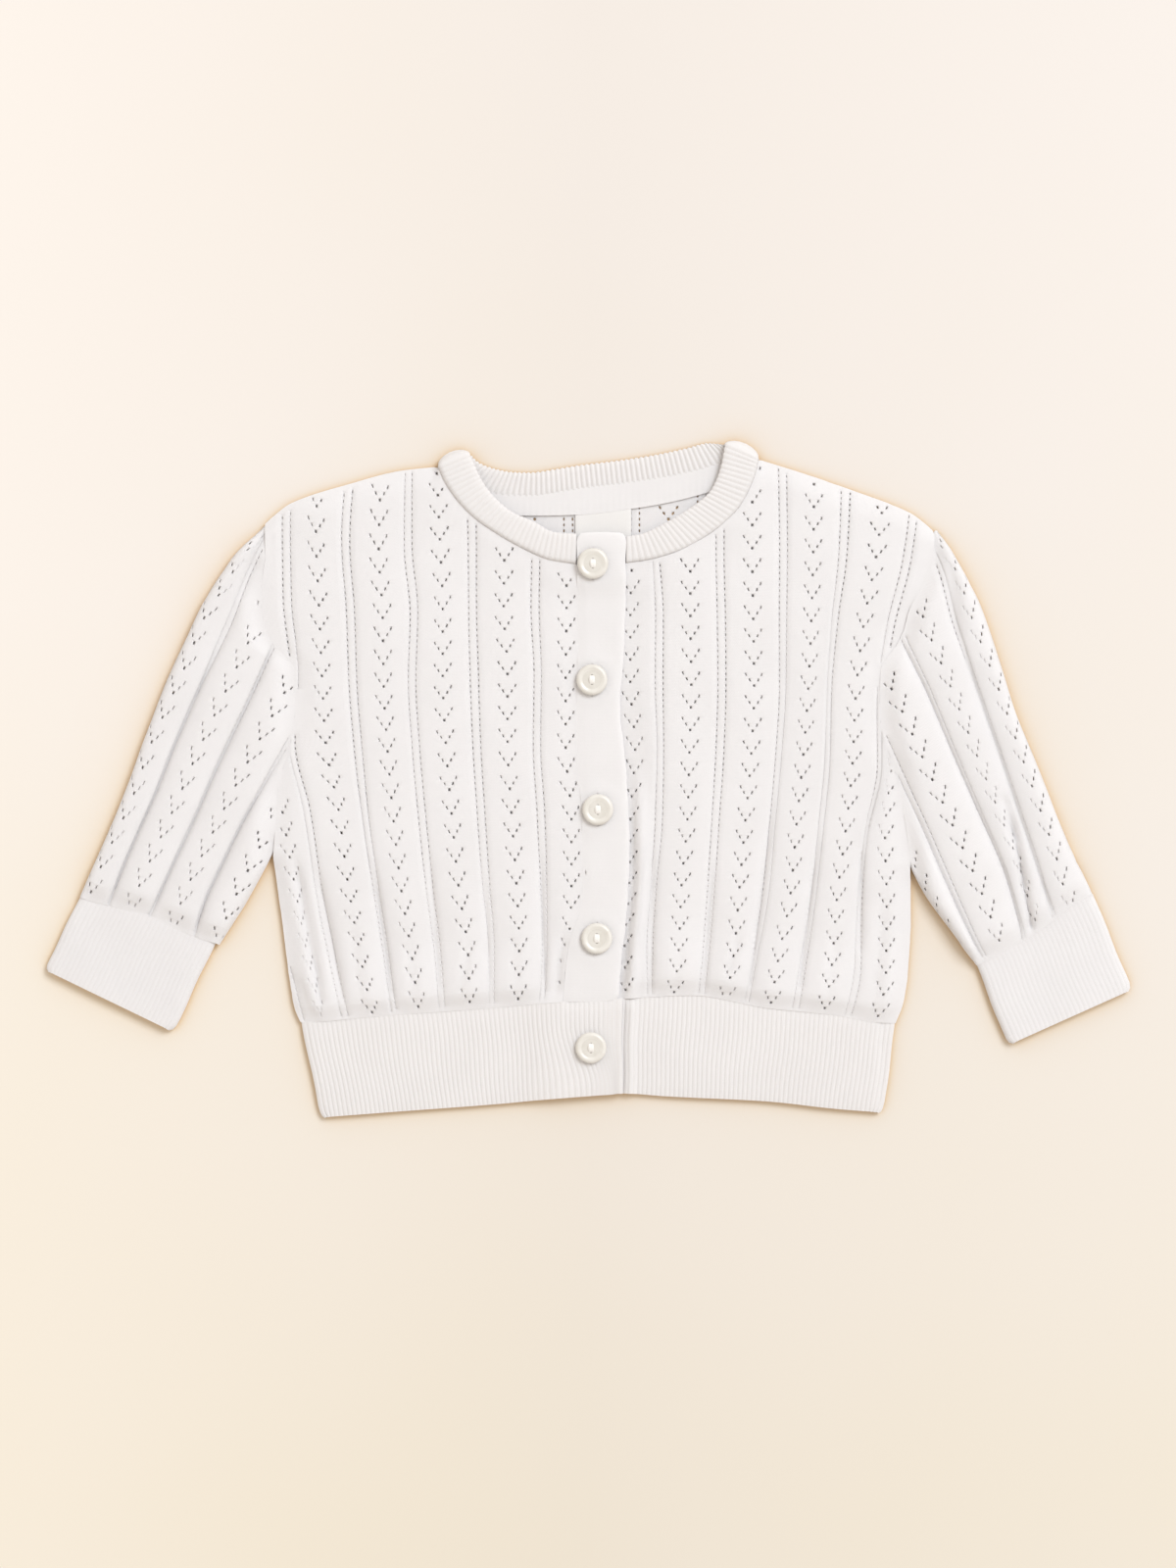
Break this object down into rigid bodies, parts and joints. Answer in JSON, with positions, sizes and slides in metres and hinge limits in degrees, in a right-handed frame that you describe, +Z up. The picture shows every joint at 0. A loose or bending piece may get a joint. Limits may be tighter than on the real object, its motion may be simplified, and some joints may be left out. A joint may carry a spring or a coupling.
{
  "type": "baby cardigan",
  "caption": "Cropped long-sleeved baby cardigan in fine cotton lace knit with ribbed hem, cuffs and neckband, buttoned up the front and laid flat.",
  "frame": {"origin": "middle of the whole, at the height of the surface it lies on", "axes": "+X to the wearer's left, across the chest; +Y to the neck; +Z up from the surface, out of the front"},
  "size_m": [0.444, 0.2761, 0.0088],
  "materials": {
    "lace_knit": "matt fine-gauge cotton knit with eyelet lace, off-white",
    "rib": "matt ribbed cotton knit, off-white",
    "plain_jersey": "matt smooth cotton jersey, off-white",
    "label": "bare white woven tape",
    "buttons": "pearly cream"
  },
  "bodies": {
    "root": {"back": "lace_knit", "front_right": "lace_knit", "front_left": "lace_knit", "sleeve_right": "lace_knit", "sleeve_left": "lace_knit", "cuff_right": "rib", "cuff_left": "rib", "hem_back": "rib", "hem_front_right": "rib", "hem_front_left": "rib", "neckband": "rib", "buttonhole_band": "plain_jersey", "button_band": "plain_jersey", "neck_tape": "plain_jersey", "label": "label", "button_1": "buttons", "button_2": "buttons", "button_3": "buttons", "button_4": "buttons", "button_5": "buttons"}
  },
  "joints": []
}
